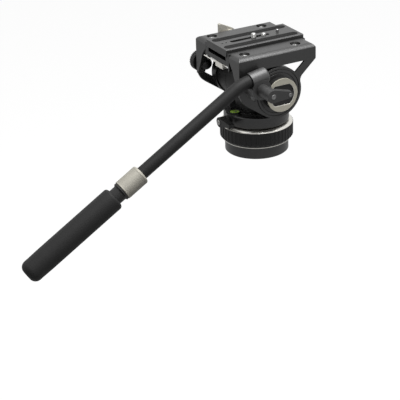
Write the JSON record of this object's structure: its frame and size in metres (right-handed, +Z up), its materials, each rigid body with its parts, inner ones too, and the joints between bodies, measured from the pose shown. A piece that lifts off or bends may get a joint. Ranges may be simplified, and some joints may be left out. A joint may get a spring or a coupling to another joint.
{
  "type": "fluid video head",
  "caption": "Fluid video head on a flat base: ribbed pan drag ring, tilting cradle with a sliding camera plate, side drag dial and a bent telescopic pan handle.",
  "frame": {"origin": "On the pan axis at the underside of the base, at the mouth of the thread for the tripod's screw.", "axes": "+Z up, +Y forward along the lens, +X to the operator's right, where the handle and the drag dial are."},
  "size_m": [0.1754, 0.4155, 0.2235],
  "materials": {
    "black_casting": "satin black coat",
    "charcoal_casting": "satin charcoal coat",
    "black_tube": "fine matt black anodise",
    "black_plastic": "moulded black",
    "grip_rubber": "fine stippled rubber",
    "pad_rubber": "flat rubber strip",
    "champagne": "champagne anodise",
    "polished": "turned and polished",
    "screw_steel": "bright plated",
    "plain_steel": "machined",
    "bearing_brass": "machined",
    "vial": "clear green vial"
  },
  "bodies": {
    "base": {"base_flange": "black_casting", "thread_socket": "plain_steel", "base_trim_ring": "polished", "pan_spindle": "plain_steel", "spindle_nut": "plain_steel"},
    "drag_ring": {"pan_drag_ring": "black_plastic", "drag_ring_trim": "polished"},
    "pan_body": {"pan_housing": "black_casting", "pan_bush": "bearing_brass", "tilt_body": "charcoal_casting", "near_drag_drum": "black_casting", "far_drag_drum": "black_casting", "counterbalance_spring": "plain_steel", "drag_plates": "bearing_brass", "tilt_axle": "plain_steel", "bubble_cup": "charcoal_casting", "bubble_vial": "vial", "pan_lock_stud": "plain_steel"},
    "pan_lock": {"pan_lock_lever": "charcoal_casting", "pan_lock_screw": "screw_steel"},
    "cradle": {"near_side_frame": "black_casting", "far_side_frame": "black_casting", "clamp_base": "charcoal_casting", "frame_screws": "screw_steel", "near_tilt_bearing": "bearing_brass", "far_tilt_bearing": "bearing_brass", "handle_rosette": "plain_steel", "handle_stud": "plain_steel", "knob_stud": "plain_steel", "knob_nut": "black_plastic"},
    "tilt_dial": {"tilt_drag_dial": "black_plastic", "dial_face": "champagne"},
    "tilt_lock": {"tilt_lock_lever": "charcoal_casting", "tilt_lock_screw": "screw_steel"},
    "handle": {"handle_bracket": "charcoal_casting", "handle_tube": "black_tube"},
    "clamp_lever": {"clamp_lever": "charcoal_casting", "clamp_lever_screws": "screw_steel"},
    "grip": {"grip_sleeve": "black_tube", "hand_grip": "grip_rubber"},
    "collar": {"lock_collar": "champagne"},
    "side_knob": {"side_knob": "black_plastic"},
    "plate_lock": {"plate_lock_lever": "champagne", "plate_lock_screw": "black_plastic"},
    "clamp_jaw": {"clamp_jaw": "plain_steel"},
    "release": {"release_lever": "champagne", "release_bar": "screw_steel"},
    "camera_plate": {"camera_plate": "black_casting", "plate_pads": "pad_rubber"},
    "screw_carriage": {"screw_washer": "screw_steel"},
    "camera_screw": {"camera_screw": "screw_steel"},
    "second_screw": {"second_screw": "screw_steel"},
    "video_pin": {"video_pin": "screw_steel"}
  },
  "joints": [
    {"name": "pan", "type": "hinge", "parent": "base", "child": "pan_body", "pos_m": [0, 0, 0.048], "axis": [0, 0, 1], "continuous": true},
    {"name": "drag_ring_turn", "type": "hinge", "parent": "base", "child": "drag_ring", "pos_m": [0, 0, 0.028], "axis": [0, 0, 1], "range_deg": [0, 90]},
    {"name": "pan_lock_turn", "type": "hinge", "parent": "pan_body", "child": "pan_lock", "pos_m": [0.0015, -0.05, 0.047], "axis": [0, 1, 0], "range_deg": [0, 60]},
    {"name": "tilt", "type": "hinge", "parent": "pan_body", "child": "cradle", "pos_m": [0, 0, 0.0928], "axis": [1, 0, 0], "range_deg": [-75, 60]},
    {"name": "tilt_drag_turn", "type": "hinge", "parent": "cradle", "child": "tilt_dial", "pos_m": [0.06, 0, 0.0928], "axis": [1, 0, 0], "range_deg": [-150, 150]},
    {"name": "tilt_lock_turn", "type": "hinge", "parent": "cradle", "child": "tilt_lock", "pos_m": [-0.061, 0, 0.0928], "axis": [1, 0, 0], "range_deg": [0, 60]},
    {"name": "handle_swing", "type": "hinge", "parent": "cradle", "child": "handle", "pos_m": [0.0676, -0.0362, 0.1109], "axis": [1, 0, 0], "range_deg": [-50, 50]},
    {"name": "clamp_lever_turn", "type": "hinge", "parent": "handle", "child": "clamp_lever", "pos_m": [0.09, -0.0362, 0.1109], "axis": [1, 0, 0], "range_deg": [-60, 60]},
    {"name": "grip_slide", "type": "slide", "parent": "handle", "child": "grip", "axis": [0, -0.8572, -0.515], "range_m": [0, 0.1]},
    {"name": "collar_twist", "type": "hinge", "parent": "grip", "child": "collar", "pos_m": [0.0676, -0.21223, 0.02755], "axis": [0, -0.8572, -0.515], "range_deg": [0, 90]},
    {"name": "side_knob_turn", "type": "hinge", "parent": "cradle", "child": "side_knob", "pos_m": [-0.065, -0.044, 0.108], "axis": [1, 0, 0], "continuous": true},
    {"name": "plate_lock_turn", "type": "hinge", "parent": "cradle", "child": "plate_lock", "pos_m": [-0.06, -0.003, 0.1376], "axis": [1, 0, 0], "range_deg": [0, 50]},
    {"name": "jaw_slide", "type": "slide", "parent": "cradle", "child": "clamp_jaw", "axis": [1, 0, 0], "range_m": [-0.0006, 0]},
    {"name": "release_press", "type": "hinge", "parent": "cradle", "child": "release", "pos_m": [0, -0.0506, 0.1258], "axis": [1, 0, 0], "range_deg": [0, 15], "stiffness_Nm_per_rad": 0.05, "springref_deg": -14.32},
    {"name": "plate_slide", "type": "slide", "parent": "cradle", "child": "camera_plate", "axis": [0, 1, 0], "range_m": [-0.03, 0.03]},
    {"name": "screw_slide", "type": "slide", "parent": "camera_plate", "child": "screw_carriage", "axis": [0, 1, 0], "range_m": [-0.024, 0]},
    {"name": "camera_screw_turn", "type": "hinge", "parent": "screw_carriage", "child": "camera_screw", "pos_m": [0, -0.002, 0.15], "axis": [0, 0, 1], "continuous": true},
    {"name": "second_screw_turn", "type": "hinge", "parent": "camera_plate", "child": "second_screw", "pos_m": [0, 0.0126, 0.15], "axis": [0, 0, 1], "continuous": true},
    {"name": "video_pin_press", "type": "slide", "parent": "camera_plate", "child": "video_pin", "axis": [0, 0, 1], "range_m": [-0.0038, 0], "stiffness_N_per_m": 200, "springref_m": 0.002}
  ]
}
